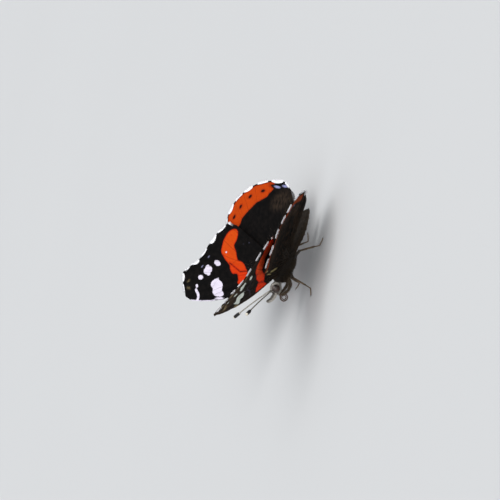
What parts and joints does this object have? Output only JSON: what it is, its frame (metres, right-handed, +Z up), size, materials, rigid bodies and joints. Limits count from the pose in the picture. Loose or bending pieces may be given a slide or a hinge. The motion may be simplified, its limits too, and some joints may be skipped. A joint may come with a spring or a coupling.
{
  "type": "red admiral butterfly model",
  "caption": "Still, life-size model of a red admiral butterfly standing on its legs with wings raised and half open, for display or scenes.",
  "frame": {"origin": "centre of the model's bounding box at the level of its feet", "axes": "+Z up, head towards -Y, the animal's left towards +X, wings spread along X"},
  "size_m": [0.0572, 0.0332, 0.0243],
  "materials": {
    "wing": "matt scales, near black with orange-red bands and white spots",
    "fur": "short dark brown hair",
    "chitin": "dark brown shell with fine scales",
    "eye": "dark brown facets, softly glossy",
    "antenna": "near black with pale rings and pale tips"
  },
  "bodies": {
    "root": {"thorax": "fur", "abdomen": "fur", "head": "fur", "eye_left": "eye", "eye_right": "eye", "palp_left": "fur", "palp_right": "fur", "proboscis": "chitin", "antenna_left": "antenna", "antenna_right": "antenna", "forewing_left": "wing", "forewing_right": "wing", "hindwing_left": "wing", "hindwing_right": "wing", "leg_fore_left": "chitin", "leg_fore_right": "chitin", "leg_mid_left": "chitin", "leg_mid_right": "chitin", "leg_hind_left": "chitin", "leg_hind_right": "chitin"}
  },
  "joints": []
}
